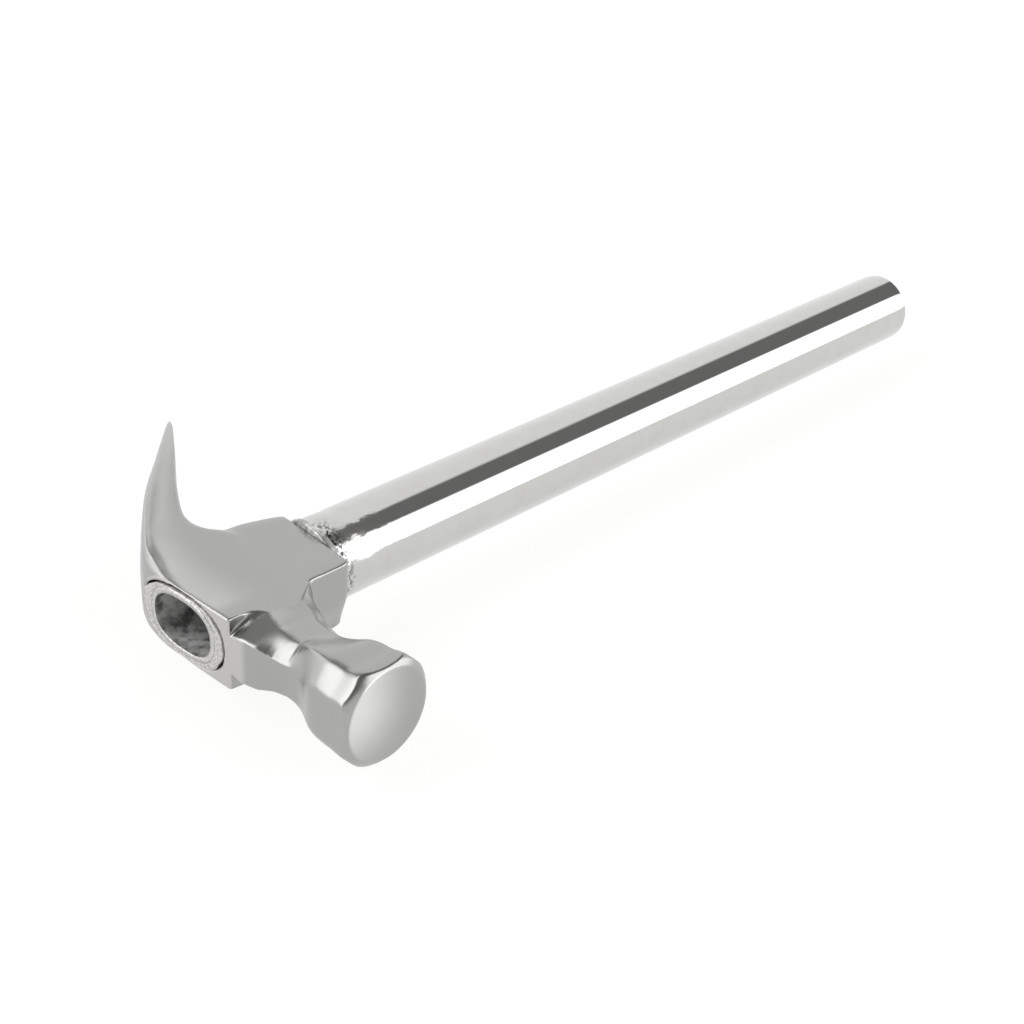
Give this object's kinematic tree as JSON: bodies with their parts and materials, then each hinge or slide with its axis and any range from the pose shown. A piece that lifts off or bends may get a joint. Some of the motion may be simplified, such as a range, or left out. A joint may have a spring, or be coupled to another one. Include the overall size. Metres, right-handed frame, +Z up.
{
  "type": "curved claw hammer",
  "caption": "Curved claw hammer with a forged steel head, an octagonal neck and bell face, and a chromed steel tube handle held in an oval eye.",
  "frame": {"origin": "bottom centre of the bounding box, with the hammer lying on its side", "axes": "+X from the head's ground top towards the open end of the handle, +Y from the striking face towards the claw, +Z up through the cheeks"},
  "size_m": [0.335, 0.1326, 0.0382],
  "materials": {
    "forged_steel": "satin nickel-grey plated forging, fine polishing grain",
    "chromed_tube": "bright chrome plate, slightly uneven near the head",
    "ground_steel": "ground flush, faint speckle",
    "weld_steel": "smoothed weld bead, plated over"
  },
  "bodies": {
    "root": {"claw_head": "forged_steel", "tube_handle": "chromed_tube", "eye_ring": "ground_steel", "shoulder_weld": "weld_steel"}
  },
  "joints": []
}
